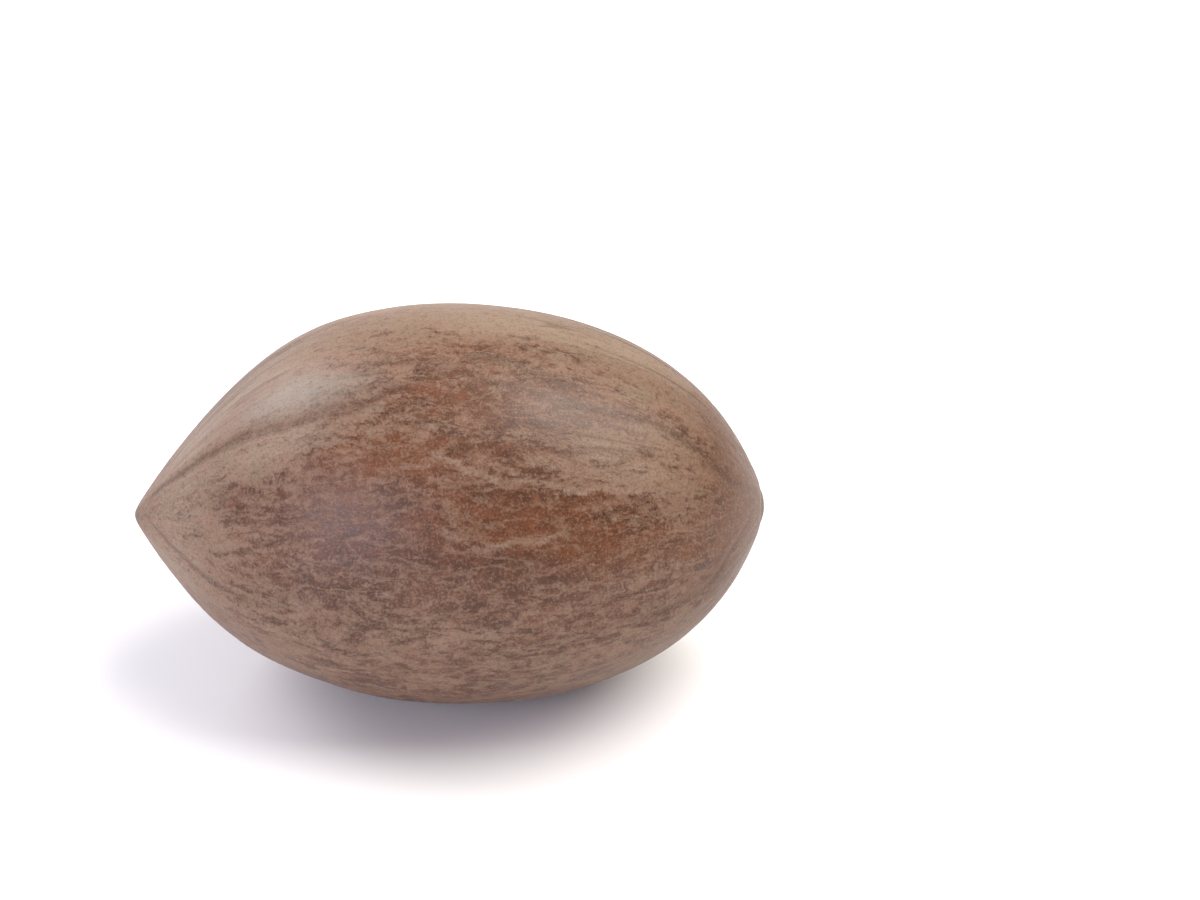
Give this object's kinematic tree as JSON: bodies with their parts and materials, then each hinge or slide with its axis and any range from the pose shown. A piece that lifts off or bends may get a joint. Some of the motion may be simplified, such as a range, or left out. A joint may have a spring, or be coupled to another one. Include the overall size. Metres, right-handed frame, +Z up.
{
  "type": "pecan in shell",
  "caption": "Closed pecan in its shell: a plump, tapering nut with low lengthwise ridges and a pointed apex, lying on its side.",
  "frame": {"origin": "on the surface that the nut rests on, under the middle of the nut", "axes": "+X along the nut from the pointed apex to the stem end, +Z up, -Y towards the side that faces the viewer"},
  "size_m": [0.042, 0.027, 0.0268],
  "materials": {
    "shell": "dry, woody nut shell with a satin surface, mottled tan and brown in lengthwise streaks"
  },
  "bodies": {
    "root": {"pecan": "shell"}
  },
  "joints": []
}
